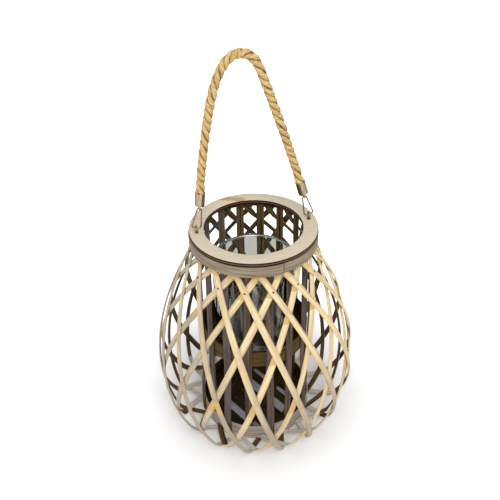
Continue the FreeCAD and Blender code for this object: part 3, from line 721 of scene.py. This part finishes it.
def lattice_line(sizes, wood, lean_r, end_steps):
    """Places (radius, height), turns and run lengths down one strip between the two layers."""
    inner_depth = sizes.strip_crown + sizes.layer_gap / 2.0
    rim_r = strip_room(sizes, wood) - inner_depth
    tilt = sizes.underside_slope / math.hypot(1.0, sizes.underside_slope)
    belly = Vector((sizes.belly_r, body_top - sizes.belly_drop))
    end = Vector((wood.foot_outer_r + sizes.strip_end_gap + inner_depth * tilt, sizes.strip_end_z))
    bend_start = Vector((rim_r, band_low.z - sizes.flare_start))
    corner = bend_start - Vector((0.0, sizes.flare_bend))
    lead = Vector((sizes.flare_out, -sizes.flare_drop))
    bend_end = corner + lead.normalized() * sizes.flare_bend

    def under(radius):
        return Vector((radius, end.y + (radius - end.x) * sizes.underside_slope))

    top = Vector((rim_r, ring_low.z - sizes.top_gap))
    underside = under(sizes.underside_r)
    shoulder = Vector((sizes.belly_r, belly.y + sizes.shoulder_rise))
    wall_end = Vector((sizes.belly_r, body_top - sizes.wall_end_drop))
    curves = [
        (top, top.lerp(bend_start, 1 / 3), top.lerp(bend_start, 2 / 3), bend_start),
        (bend_start, corner, corner, bend_end),
        (bend_end, corner + lead, shoulder, belly),
        (belly, wall_end, under(sizes.turn_r), underside),
        (underside, underside.lerp(end, 1 / 3), underside.lerp(end, 2 / 3), end),
    ]
    steps = 200
    lower = 3
    places = []
    shares = []
    for number, curve in enumerate(curves):
        for index, place in enumerate(interpolate_bezier(*curve, steps + 1)[:-1]):
            places.append(place)
            shares.append(ease(2.0 * index / steps - 1.0) if number == lower else float(number > lower))
    places.append(end)
    shares.append(1.0)

    runs = [0.0]
    body_turn = [0.0]
    under_turn = [0.0]
    for index in range(1, len(places)):
        run = (places[index] - places[index - 1]).length
        middle_r = (places[index].x + places[index - 1].x) / 2.0
        turn = run / middle_r
        runs.append(runs[-1] + run)
        body_turn.append(body_turn[-1] + turn * lean_r / math.sqrt(middle_r ** 2 - lean_r ** 2))
        under_turn.append(under_turn[-1] + (shares[index] + shares[index - 1]) / 2.0 * turn)
    crossing_z = band_low.z - sizes.crossing_drop
    crossing = min(range(len(places)), key=lambda i: abs(places[i].y - crossing_z))
    target = end_steps * math.pi / sizes.strip_count
    extra = (target - body_turn[-1] + body_turn[crossing]) / under_turn[-1]
    turns = [body - body_turn[crossing] + extra * low for body, low in zip(body_turn, under_turn)]
    return places, turns, runs


def strip_frames(sizes, line, crossings, hand, start, base, dice):
    """Frames, run lengths and crossing rows along one strip."""
    places, turns, runs = line
    total = runs[-1]
    count = round(total / 0.0035)
    frames = []
    stations = []
    rows = []
    swell = dice.uniform(0.0, 6.3)
    breadth = dice.uniform(1.04, 1.13)
    for station in range(count + 1):
        run = total * station / count
        index = min(range(len(runs)), key=lambda i: abs(runs[i] - run))
        before = max(index - 1, 0)
        after = min(index + 1, len(runs) - 1)
        angle = start + hand * turns[index]
        ahead = around(places[after].x, start + hand * turns[after], places[after].y)
        behind = around(places[before].x, start + hand * turns[before], places[before].y)
        along = (ahead - behind).normalized()
        slope = (places[after] - places[before]).normalized()
        outward = around(-slope.y, angle, slope.x)
        across = outward.cross(along).normalized()
        level = around(1.0, angle + math.pi / 2.0, 0.0)
        level = level / level.dot(across)
        end_share = 1.0 - ease(min(run, total - run) / sizes.end_run)
        across = across.lerp(level, end_share)
        across = across * breadth * (1.0 + 0.035 * math.sin(run * 47.0 + swell) * (1.0 - end_share))
        place = around(places[index].x, angle, places[index].y) + outward * base
        frames.append(columns(across, outward, along, place))
        stations.append(run)
        rows.append(crossings[index])
    return frames, stations, rows


def slat_places(sizes, wood, outside):
    """Radius and height from a slat's foot up to its top, as the CAD slat runs."""
    strip_r = strip_room(sizes, wood) - 2.0 * sizes.strip_crown - sizes.layer_gap
    top = Vector((strip_r - sizes.slat_gap - sizes.slat_crown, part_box("slat_01")[1].z))
    shelf_r = wood.shelf_outer_r + sizes.slat_gap
    if outside:
        foot_r = wood.foot_outer_r + sizes.slat_gap
        foot_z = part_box("slat_01")[0].z
    else:
        foot_r = wood.foot_outer_r - wood.hoop_thickness - sizes.slat_gap - sizes.slat_crown
        foot_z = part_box("slat_02")[0].z
    places = [Vector((foot_r, foot_z)), Vector((foot_r, (foot_z + foot_high.z) / 2.0))]
    steps = 20
    for index in range(steps + 1):
        share = index / steps
        radius = foot_r + (shelf_r - foot_r) * ease(share)
        places.append(Vector((radius, foot_high.z + (shelf_low.z - foot_high.z) * share)))
    places.append(Vector((shelf_r, (shelf_low.z + shelf_high.z) / 2.0)))
    for index in range(steps + 1):
        share = index / steps
        radius = shelf_r + (top.x - shelf_r) * ease(share)
        places.append(Vector((radius, shelf_high.z + (top.y - shelf_high.z) * share)))
    return places


def slat_frames(places, angle):
    """Level frames up one slat."""
    frames = []
    runs = []
    run = 0.0
    for index, place in enumerate(places):
        if index:
            run += (place - places[index - 1]).length
        across = around(1.0, angle + math.pi / 2.0, 0.0)
        outward = around(1.0, angle, 0.0)
        frames.append(columns(across, outward, Vector((0.0, 0.0, 1.0)), around(place.x, angle, place.y)))
        runs.append(run)
    return frames, runs


def rounded_board(thickness, height, soft):
    """Closed profile of a board with softened corners, x through it and y up."""
    return [
        (soft, 0.0), (thickness - soft, 0.0), (thickness, soft), (thickness, height - soft),
        (thickness - soft, height), (soft, height), (0.0, height - soft), (0.0, soft),
    ]


def bent_hoop(outer_r, thickness, low_z, high_z, seam, lap, soft, tone):
    """Bent-wood hoop whose outer end laps over its inner end."""
    stations = 144
    profile = rounded_board(1.0, high_z - low_z, soft)
    profile = [(x if x in (0.0, 1.0) else (soft / thickness if x < 0.5 else 1.0 - soft / thickness), y) for x, y in profile]
    frames = []
    runs = []
    for station in range(stations + 1):
        share = station / stations
        angle = seam - 2.0 * math.pi * share
        through = around(thickness - lap * share, angle, 0.0)
        along = around(1.0, angle - math.pi / 2.0, 0.0)
        frames.append(columns(through, Vector((0.0, 0.0, 1.0)), along, around(outer_r - thickness, angle, low_z)))
        runs.append(2.0 * math.pi * outer_r * share)
    return swept(profile, frames, runs, [0.0] * len(runs), tone)


class LANTERN_OT_stage(bpy.types.Operator):
    """Make the camera, the lights and the floor."""

    bl_idname = "lantern.stage"
    bl_label = "Stage"

    def execute(self, context):
        stage = context.scene.lantern_stage
        turn = Matrix.Rotation(stage.camera_turn, 3, "Z")
        pitch = stage.camera_pitch
        ahead = turn @ Vector(
            (math.sin(stage.camera_yaw) * math.cos(pitch), math.cos(stage.camera_yaw) * math.cos(pitch), -math.sin(pitch))
        )
        right = ahead.cross(Vector((0.0, 0.0, 1.0))).normalized()
        up = right.cross(ahead)
        roll = Matrix.Rotation(-stage.camera_roll, 3, ahead)
        place = turn @ Vector((0.0, -stage.camera_reach, 0.0)) + Vector((0.0, 0.0, body_top + stage.camera_rise))
        camera = bpy.data.objects.new("camera", bpy.data.cameras.new("camera"))
        camera.data.sensor_width = 36.0
        camera.data.lens = stage.lens
        camera.data.clip_start = 0.01
        camera.matrix_world = columns(roll @ right, roll @ up, -ahead, place)
        context.scene.collection.objects.link(camera)
        context.scene.camera = camera

        bm = bmesh.new()
        bmesh.ops.create_grid(bm, x_segments=1, y_segments=1, size=stage.floor_size)
        mesh = bpy.data.meshes.new("floor")
        bm.to_mesh(mesh)
        bm.free()
        mesh.materials.append(floor_material(stage.shadow_r, stage.white_r))
        floor = bpy.data.objects.new("floor", mesh)
        context.scene.collection.objects.link(floor)

        middle = Vector((0.0, 0.0, body_top / 2.0))
        lamps = (
            ("key_light", stage.key_power, 1.1, turn @ Vector((0.35, -1.35, 0.0)) + Vector((0.0, 0.0, 1.75))),
            ("fill_light", stage.fill_power, 1.4, turn @ Vector((-1.5, -0.7, 0.0)) + Vector((0.0, 0.0, 1.1))),
        )
        for name, power, size, spot in lamps:
            data = bpy.data.lights.new(name, "AREA")
            data.energy = power
            data.size = size
            lamp = bpy.data.objects.new(name, data)
            lamp.location = spot
            lamp.rotation_euler = (middle - spot).to_track_quat("-Z", "Y").to_euler()
            context.scene.collection.objects.link(lamp)

        world = bpy.data.worlds.new("studio")
        world.use_nodes = True
        context.scene.world = world
        net = Net(world.node_tree)
        light = world.node_tree.nodes["Background"]
        light.inputs["Color"].default_value = (1.0, 1.0, 1.0, 1.0)
        light.inputs["Strength"].default_value = stage.sky
        shown = net.put("ShaderNodeBackground", {"Color": (1.0, 1.0, 1.0, 1.0), "Strength": 1.0})
        path = net.put("ShaderNodeLightPath", {}).outputs
        seen = net.math("MAXIMUM", path["Is Camera Ray"], path["Is Glossy Ray"])
        seen = net.math("MAXIMUM", seen, path["Is Transmission Ray"])
        both = net.put("ShaderNodeMixShader", {0: seen, 1: light.outputs[0], 2: shown.outputs[0]})
        net.feed(world.node_tree.nodes["World Output"].inputs["Surface"], both.outputs[0])
        context.scene.view_settings.view_transform = "Standard"
        return {"FINISHED"}


# The rope's route, as distance along X and height above the ring, in metres.
ROPE_ROUTE = [
    (-0.0595, 0.0374),
    (-0.0572, 0.0614),
    (-0.0523, 0.0948),
    (-0.0453, 0.1347),
    (-0.0370, 0.1681),
    (-0.0262, 0.1890),
    (-0.0152, 0.1965),
    (-0.0035, 0.1957),
    (0.0055, 0.1878),
    (0.0116, 0.1726),
    (0.0250, 0.1356),
    (0.0392, 0.0944),
    (0.0503, 0.0604),
    (0.0571, 0.0369),
]


class LANTERN_OT_rope(bpy.types.Operator):
    """Make the rope handle from three twisted strands."""

    bl_idname = "lantern.rope"
    bl_label = "Rope"

    def execute(self, context):
        sizes = context.scene.lantern_rope
        line = self.route_line()
        runs = [0.0]
        for before, after in zip(line, line[1:]):
            runs.append(runs[-1] + (after - before).length)
        material = rope_material(context.scene.lantern_finish)
        whole = bmesh.new()
        for number in range(3):
            bm = self.strand(sizes, line, runs, 2.0 * math.pi * number / 3.0)
            part = bpy.data.meshes.new("strand")
            bm.to_mesh(part)
            bm.free()
            whole.from_mesh(part)
            bpy.data.meshes.remove(part)
        piece = add_piece("rope_strands", whole, material, "handle", ["rope"], math.radians(80.0))
        fibres = add_piece("rope_fibres", self.loose_fibres(sizes, line, runs), material, "handle", [])
        return {"FINISHED"}

    def route_line(self):
        """Points read from the route's smooth spline."""
        data = bpy.data.curves.new("rope_route", "CURVE")
        data.dimensions = "3D"
        spline = data.splines.new("NURBS")
        spline.points.add(len(ROPE_ROUTE) - 1)
        for point, (x, rise) in zip(spline.points, ROPE_ROUTE):
            point.co = (x, 0.0, body_top + rise, 1.0)
        spline.order_u = 3
        spline.use_endpoint_u = True
        spline.resolution_u = 24
        guide = bpy.data.objects.new("rope_route", data)
        mesh = bpy.data.meshes.new_from_object(guide)
        line = [vert.co.copy() for vert in mesh.vertices]
        bpy.data.meshes.remove(mesh)
        bpy.data.objects.remove(guide)
        bpy.data.curves.remove(data)
        return line

    def rope_side(self, line, index):
        """Direction of the rope and its side in the handle's plane."""
        ahead = (line[min(index + 1, len(line) - 1)] - line[max(index - 1, 0)]).normalized()
        return ahead, ahead.cross(Vector((0.0, 1.0, 0.0)))

    def strand(self, sizes, line, runs, phase):
        """One strand that winds round the rope's line."""
        reach = sizes.diameter / 2.0 - sizes.strand_r
        centres = []
        for index, place in enumerate(line):
            ahead, side = self.rope_side(line, index)
            turn = phase - 2.0 * math.pi * runs[index] / sizes.lay + 0.5 * math.sin(runs[index] * 95.0)
            turn += 0.14 * math.sin(runs[index] * 310.0 + phase * 3.0)
            centres.append(place + (Vector((0.0, 1.0, 0.0)) * math.cos(turn) + side * math.sin(turn)) * reach)
        frames = []
        for index, centre in enumerate(centres):
            ahead = (centres[min(index + 1, len(line) - 1)] - centres[max(index - 1, 0)]).normalized()
            out = centre - line[index]
            out = (out - ahead * out.dot(ahead)).normalized()
            swell = 1.0 + 0.06 * math.sin(runs[index] * 265.0 + phase * 7.0)
            frames.append(columns(out * swell, ahead.cross(out) * swell, ahead, centre))
        steps = 14
        profile = []
        for index in range(steps):
            angle = 2.0 * math.pi * index / steps
            profile.append((sizes.strand_r * math.cos(angle), sizes.strand_r * 1.12 * math.sin(angle)))
        bm = swept(profile, frames, runs, [0.0] * len(runs), 0.0, twist=260.0)
        row = bm.verts.layers.float["row"]
        for vert in bm.verts:
            nearest = min(line, key=lambda place: (place - vert.co).length_squared)
            vert[row] = (nearest - vert.co).length * 2.0 / sizes.diameter
        return bm

    def loose_fibres(self, sizes, line, runs):
        """Fine fibres that lift off the strands."""
        dice = random.Random(7)
        whole = bmesh.new()
        for number in range(sizes.fibres):
            index = dice.randrange(14, len(line) - 14)
            ahead, side = self.rope_side(line, index)
            turn = dice.uniform(0.0, 2.0 * math.pi)
            out = Vector((0.0, 1.0, 0.0)) * math.cos(turn) + side * math.sin(turn)
            wrap = ahead.cross(out)
            along = (ahead * dice.choice((-1.0, 1.0)) + wrap * dice.uniform(-0.9, 0.9)).normalized()
            start = line[index] + out * sizes.diameter * 0.44
            reach = dice.uniform(0.003, 0.008)
            lift = dice.uniform(0.08, 0.45)
            frames = []
            for step in range(5):
                share = step / 4.0
                place = start + along * reach * share + out * reach * lift * share * share
                ahead_now = (along + out * 2.0 * lift * share).normalized()
                side_now = ahead_now.cross(wrap + out * 0.2).normalized()
                thin = 1.0 - 0.7 * share
                frames.append(columns(side_now * thin, ahead_now.cross(side_now) * thin, ahead_now, place))
            r = 0.00006
            bm = swept([(r, 0.0), (-r * 0.5, r * 0.8), (-r * 0.5, -r * 0.8)], frames, [0.002 * i for i in range(5)], [1.0] * 5, 0.0)
            part = bpy.data.meshes.new("fibre")
            bm.to_mesh(part)
            bm.free()
            whole.from_mesh(part)
            bpy.data.meshes.remove(part)
        return whole


class LANTERN_OT_strips(bpy.types.Operator):
    """Make the two layers of willow strips."""

    bl_idname = "lantern.strips"
    bl_label = "Willow strips"

    def execute(self, context):
        sizes = context.scene.lantern_lattice
        wood = context.scene.lantern_wood
        finish = context.scene.lantern_finish
        outer_line = lattice_line(sizes, wood, sizes.outer_lean_r, sizes.outer_end_steps)
        inner_line = lattice_line(sizes, wood, sizes.inner_lean_r, sizes.inner_end_steps)
        step = 2.0 * math.pi / sizes.strip_count
        crossings = [(outer + inner) / step for outer, inner in zip(outer_line[1], inner_line[1])]
        profile = half_round(sizes.strip_width, sizes.strip_edge, sizes.strip_crown)
        outer_base = sizes.layer_gap / 2.0
        inner_base = -outer_base - sizes.strip_crown
        outer_under = outer_line[2][-1] - sizes.under_run
        inner_under = inner_line[2][-1] - sizes.under_run
        outer = willow_material(finish, "willow_outer", 0.1, -10.0, 0.4, 1.0, outer_under)
        inner = willow_material(finish, "willow_inner", 0.55, 10.0, 0.6, 0.35, inner_under)
        layers = (
            ("outer", 1, outer_line, outer_base, outer),
            ("inner", -1, inner_line, inner_base, inner),
        )
        for layer, hand, line, base, material in layers:
            dice = random.Random(20 + hand)
            for index in range(sizes.strip_count):
                start = sizes.turn + step * index
                frames, runs, rows = strip_frames(sizes, line, crossings, hand, start, base, dice)
                bm = swept(profile, frames, runs, rows, dice.random())
                label = "%s_%02d" % (layer, index + 1)
                add_piece("willow_" + label, bm, material, "lantern", ["lattice_" + label])
        return {"FINISHED"}


class LANTERN_OT_slats(bpy.types.Operator):
    """Make the upright slats."""

    bl_idname = "lantern.slats"
    bl_label = "Slats"

    def execute(self, context):
        sizes = context.scene.lantern_lattice
        material = slat_material(context.scene.lantern_finish)
        profile = half_round(sizes.slat_width, sizes.slat_edge, sizes.slat_crown)
        dice = random.Random(5)
        for index in range(sizes.slat_count):
            places = slat_places(sizes, context.scene.lantern_wood, index % 2 == 0)
            frames, runs = slat_frames(places, sizes.turn + 2.0 * math.pi * index / sizes.slat_count)
            bm = swept(profile, frames, runs, [0.0] * len(runs), dice.random())
            label = "slat_%02d" % (index + 1)
            add_piece("willow_" + label, bm, material, "lantern", [label])
        return {"FINISHED"}


class LANTERN_OT_rim(bpy.types.Operator):
    """Make the flat ring and the band under it."""

    bl_idname = "lantern.rim"
    bl_label = "Rim"

    def execute(self, context):
        wood = context.scene.lantern_wood
        finish = context.scene.lantern_finish
        outer_r = ring_high.x
        inner_r = outer_r - wood.ring_width
        bm = bmesh.new()
        corners = [(inner_r, ring_low.z), (outer_r, ring_low.z), (outer_r, ring_high.z), (inner_r, ring_high.z)]
        verts = [bm.verts.new((r, 0.0, z)) for r, z in corners]
        edges = [bm.edges.new((a, b)) for a, b in zip(verts, verts[1:] + verts[:1])]
        bmesh.ops.spin(
            bm, geom=verts + edges, cent=(0.0, 0.0, 0.0), axis=(0.0, 0.0, 1.0), angle=2.0 * math.pi, steps=160,
            use_merge=True,
        )
        bmesh.ops.recalc_face_normals(bm, faces=bm.faces)
        rims = [e for e in bm.edges if e.calc_face_angle(0.0) > 1.0]
        bmesh.ops.bevel(
            bm, geom=rims, offset=wood.ring_round, affect="EDGES", segments=3, profile=0.5, material=-1,
        )
        add_piece("plywood_ring", bm, ring_material(finish, outer_r, inner_r), "lantern", ["rim_ring"])
        bm = bent_hoop(
            wood.band_outer_r, wood.band_thickness, band_low.z, band_high.z, wood.band_seam, wood.band_lap,
            wood.edge_round, 0.31,
        )
        material = bent_wood_material(finish, "band_wood", finish.band_wash, finish.band_grain)
        add_piece("bent_band", bm, material, "lantern", ["rim_band"])
        return {"FINISHED"}


class LANTERN_OT_hoops(bpy.types.Operator):
    """Make the foot hoop and the shelf hoop, and finish their floors."""

    bl_idname = "lantern.hoops"
    bl_label = "Hoops and floors"

    def execute(self, context):
        wood = context.scene.lantern_wood
        finish = context.scene.lantern_finish
        foot = bent_wood_material(finish, "foot_wood", finish.hoop_wash, finish.hoop_grain)
        shelf = bent_wood_material(finish, "shelf_wood", finish.shelf_face, finish.shelf_grain)
        hoops = (
            ("bent_foot", "base_hoop", wood.foot_outer_r, foot_low.z, foot_high.z, wood.foot_seam, 0.52, foot),
            ("bent_shelf", "shelf_hoop", wood.shelf_outer_r, shelf_low.z, shelf_high.z, wood.shelf_seam, 0.83, shelf),
        )
        for name, node, outer_r, low, high, seam, tone, material in hoops:
            bm = bent_hoop(outer_r, wood.hoop_thickness, low, high, seam, wood.hoop_lap, wood.edge_round, tone)
            add_piece(name, bm, material, "lantern", [node])
        for node in ("base_splints", "shelf_splints"):
            low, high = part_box(node)
            middle = (low.z + high.z) / 2.0
            dress_node(node, splint_material(finish, node + "_wood", middle, wood.lower_splints, wood.upper_splints))
        return {"FINISHED"}


class LANTERN_OT_glass(bpy.types.Operator):
    """Make the glass cylinder."""

    bl_idname = "lantern.glass"
    bl_label = "Glass"

    def execute(self, context):
        sizes = context.scene.lantern_rope
        outer_r = glass_high.x
        inner_r = outer_r - sizes.glass_wall
        floor_z = glass_low.z + sizes.glass_floor
        bm = bmesh.new()
        corners = [
            (0.0, glass_low.z), (outer_r, glass_low.z), (outer_r, glass_high.z), (inner_r, glass_high.z),
            (inner_r, floor_z), (0.0, floor_z),
        ]
        verts = [bm.verts.new((r, 0.0, z)) for r, z in corners]
        edges = [bm.edges.new((a, b)) for a, b in zip(verts, verts[1:])]
        bmesh.ops.spin(
            bm, geom=verts + edges, cent=(0.0, 0.0, 0.0), axis=(0.0, 0.0, 1.0), angle=2.0 * math.pi, steps=128,
            use_merge=True,
        )
        bmesh.ops.remove_doubles(bm, verts=bm.verts, dist=0.00001)
        bmesh.ops.recalc_face_normals(bm, faces=bm.faces)
        rims = [e for e in bm.edges if e.calc_face_angle(0.0) > 1.0 and e.verts[0].co.z > floor_z + 0.001]
        bmesh.ops.bevel(bm, geom=rims, offset=sizes.glass_rim, affect="EDGES", segments=5, profile=0.5, material=-1)
        rims = [e for e in bm.edges if e.calc_face_angle(0.0) > 1.0]
        bmesh.ops.bevel(bm, geom=rims, offset=sizes.glass_foot, affect="EDGES", segments=5, profile=0.5, material=-1)
        add_piece("glass_cylinder", bm, glass_material(), "glass", ["glass"])
        return {"FINISHED"}


class LANTERN_OT_metal(bpy.types.Operator):
    """Finish the ferrules, links, eyes and brads."""

    bl_idname = "lantern.metal"
    bl_label = "Metal"

    def execute(self, context):
        finish = context.scene.lantern_finish
        wire = metal_material("nickel_wire", finish.wire, finish.nickel_tarnish_and_shade, 0.22)
        dress_node("ferrules", metal_material("nickel_cup", finish.nickel, finish.nickel_tarnish_and_shade, 0.16))
        dress_node("links", wire)
        dress_node("screw_eyes", wire)
        dress_node("lattice_brads", metal_material("brad_steel", finish.steel, finish.steel, 0.45))
        return {"FINISHED"}


class LANTERN_PT_tools(bpy.types.Panel):
    """Lists the lantern's settings and steps."""

    bl_idname = "LANTERN_PT_tools"
    bl_label = "Lantern"
    bl_space_type = "VIEW_3D"
    bl_region_type = "UI"
    bl_category = "Lantern"

    def draw(self, context):
        scene = context.scene
        groups = (
            scene.lantern_lattice, scene.lantern_wood, scene.lantern_rope, scene.lantern_finish, scene.lantern_stage,
        )
        for group in groups:
            box = self.layout.box()
            for name in group.__annotations__:
                box.prop(group, name)
        for operator in STEPS:
            self.layout.operator(operator.bl_idname)


STEPS = (
    LANTERN_OT_stage,
    LANTERN_OT_rope,
    LANTERN_OT_strips,
    LANTERN_OT_slats,
    LANTERN_OT_rim,
    LANTERN_OT_hoops,
    LANTERN_OT_glass,
    LANTERN_OT_metal,
)
GROUPS = (
    ("lantern_lattice", LanternLattice),
    ("lantern_wood", LanternWood),
    ("lantern_rope", LanternRope),
    ("lantern_finish", LanternFinish),
    ("lantern_stage", LanternStage),
)


def register():
    """Register the settings, the steps and the panel."""
    for name, group in GROUPS:
        bpy.utils.register_class(group)
        setattr(bpy.types.Scene, name, PointerProperty(type=group))
    for operator in STEPS:
        bpy.utils.register_class(operator)
    bpy.utils.register_class(LANTERN_PT_tools)


def unregister():
    """Take the panel, the steps and the settings out again."""
    bpy.utils.unregister_class(LANTERN_PT_tools)
    for operator in reversed(STEPS):
        bpy.utils.unregister_class(operator)
    for name, group in reversed(GROUPS):
        delattr(bpy.types.Scene, name)
        bpy.utils.unregister_class(group)


def main():
    """Make every piece in order."""
    register()
    bpy.ops.lantern.stage()
    bpy.ops.lantern.rope()
    bpy.ops.lantern.strips()
    bpy.ops.lantern.slats()
    bpy.ops.lantern.rim()
    bpy.ops.lantern.hoops()
    bpy.ops.lantern.glass()
    bpy.ops.lantern.metal()
    bpy.context.view_layer.update()


if __name__ == "__main__":
    main()
